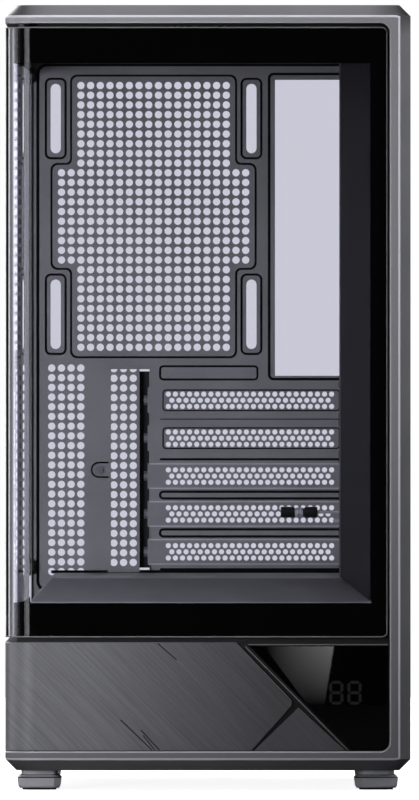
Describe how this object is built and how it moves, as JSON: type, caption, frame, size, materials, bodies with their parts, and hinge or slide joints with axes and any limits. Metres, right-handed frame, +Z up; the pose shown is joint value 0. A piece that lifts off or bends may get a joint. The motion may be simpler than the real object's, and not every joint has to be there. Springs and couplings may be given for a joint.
{
  "type": "mini tower pc case",
  "caption": "Compact tower computer case with a bent smoked-glass pane round its front left corner, a C-shaped front frame, a brushed lower fascia with a small display and a full inner chassis.",
  "frame": {"origin": "on the ground under the middle of the case's bounding box", "axes": "+X to the right seen from the front, +Y from the front to the rear, +Z up"},
  "size_m": [0.21, 0.38, 0.4067],
  "materials": {
    "graphite_frame": "satin graphite paint on moulded plastic",
    "black_steel": "satin black powder coat",
    "panel_steel": "fine textured black powder coat",
    "smoked_glass": "lightly smoked tempered glass with black printed border",
    "brushed_fascia": "diagonal brushed graphite",
    "display_gloss": "piano black window",
    "display_bezel": "satin black",
    "digits": "unlit grey segments",
    "board": "black circuit board",
    "foot_plastic": "satin metallic grey",
    "rubber": "soft black rubber",
    "screw_steel": "dark zinc",
    "standoff_brass": "plain brass",
    "port_steel": "bright tinned steel",
    "port_plastic": "black nylon",
    "button": "satin metallic grey",
    "sled_plastic": "black moulded plastic",
    "filter_mesh": "black nylon mesh in a magnetic border",
    "socket_nylon": "black nylon"
  },
  "bodies": {
    "case": {"front_frame": "graphite_frame", "top_cover": "graphite_frame", "front_subframe": "black_steel", "chassis_floor": "black_steel", "chassis_roof": "black_steel", "rear_panel": "black_steel", "rear_vent_grille": "black_steel", "slot_cover_1": "black_steel", "slot_cover_2": "black_steel", "slot_cover_3": "black_steel", "slot_cover_4": "black_steel", "slot_cover_5": "black_steel", "slot_screw_cover": "black_steel", "motherboard_tray": "black_steel", "cable_cover": "black_steel", "psu_shroud": "black_steel", "drive_cage": "black_steel", "ssd_bracket": "black_steel", "lower_left_panel": "panel_steel", "lower_fascia": "brushed_fascia", "fascia_insert": "brushed_fascia", "display_window": "display_gloss", "display_bezel": "display_bezel", "button_carrier": "display_bezel", "display_digits": "digits", "display_board": "board", "io_board": "board", "foot_front_left": "foot_plastic", "foot_front_right": "foot_plastic", "foot_rear_left": "foot_plastic", "foot_rear_right": "foot_plastic", "foot_pad_front_left": "rubber", "foot_pad_front_right": "rubber", "foot_pad_rear_left": "rubber", "foot_pad_rear_right": "rubber", "psu_pads": "rubber", "slot_cover_screws": "screw_steel", "screw_cover_screw": "screw_steel", "tray_post": "screw_steel", "board_standoffs": "standoff_brass", "usb_port_left": "port_steel", "usb_port_right": "port_steel", "usb_c_port": "port_steel", "audio_port": "port_plastic", "drive_sled_lower": "sled_plastic", "drive_sled_upper": "sled_plastic", "top_dust_filter": "filter_mesh", "stud_sockets": "socket_nylon"},
    "glass": {"glass_panel": "smoked_glass", "glass_studs": "screw_steel"},
    "side_panel": {"right_side_panel": "panel_steel", "panel_thumb_screws": "screw_steel"},
    "psu_filter": {"psu_dust_filter": "filter_mesh"},
    "power": {"power_button": "button"},
    "reset": {"reset_button": "button"}
  },
  "joints": [
    {"name": "glass_pull", "type": "slide", "parent": "case", "child": "glass", "axis": [-1, 0, 0], "range_m": [0, 0.2]},
    {"name": "side_panel_slide", "type": "slide", "parent": "case", "child": "side_panel", "axis": [0, 1, 0], "range_m": [0, 0.02]},
    {"name": "psu_filter_slide", "type": "slide", "parent": "case", "child": "psu_filter", "axis": [0, 1, 0], "range_m": [0, 0.17]},
    {"name": "power_press", "type": "slide", "parent": "case", "child": "power", "axis": [0, 0, -1], "range_m": [0, 0.0015], "stiffness_N_per_m": 1000},
    {"name": "reset_press", "type": "slide", "parent": "case", "child": "reset", "axis": [0, 0, -1], "range_m": [0, 0.001], "stiffness_N_per_m": 1000}
  ]
}
